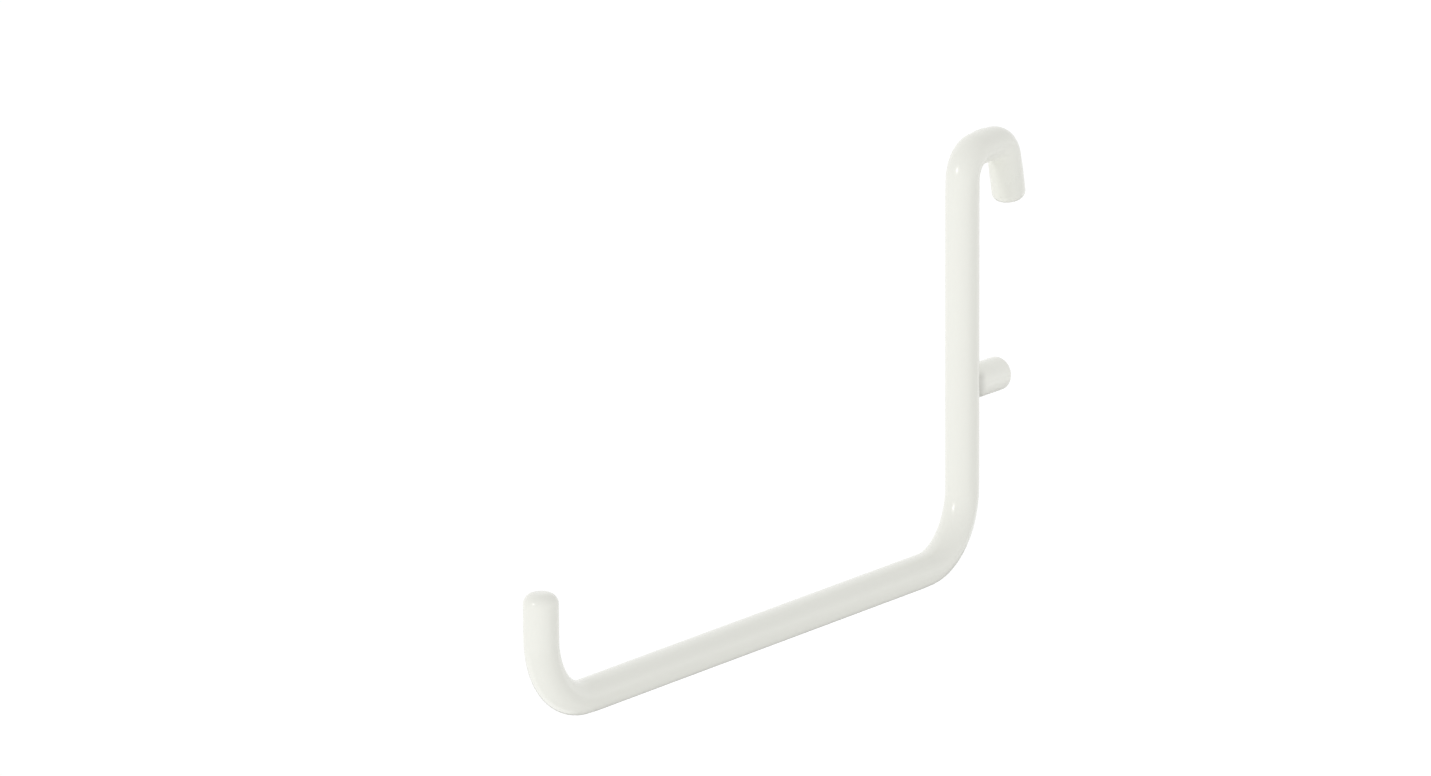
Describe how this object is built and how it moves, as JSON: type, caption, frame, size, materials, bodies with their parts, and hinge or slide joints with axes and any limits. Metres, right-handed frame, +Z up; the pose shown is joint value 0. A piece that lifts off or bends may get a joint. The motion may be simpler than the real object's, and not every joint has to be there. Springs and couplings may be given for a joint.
{
  "type": "pegboard hook",
  "caption": "Long single-arm pegboard hook of bent round rod with an upturned tip, a rear leg that drops behind the board and a welded locating peg, in off-white powder coat.",
  "frame": {"origin": "on the locating peg's axis, in the plane of the board's front face, which the back of the post rests against", "axes": "+Y into the board, along the peg; +Z up, as the hook hangs; +X across the hook, square to the plane it is bent in; the arm reaches out along -Y"},
  "size_m": [0.0048, 0.1206, 0.0628],
  "materials": {
    "powder_coat": "off-white powder coat, satin gloss, on steel"
  },
  "bodies": {
    "root": {"hook_rod": "powder_coat", "locating_peg": "powder_coat"}
  },
  "joints": []
}
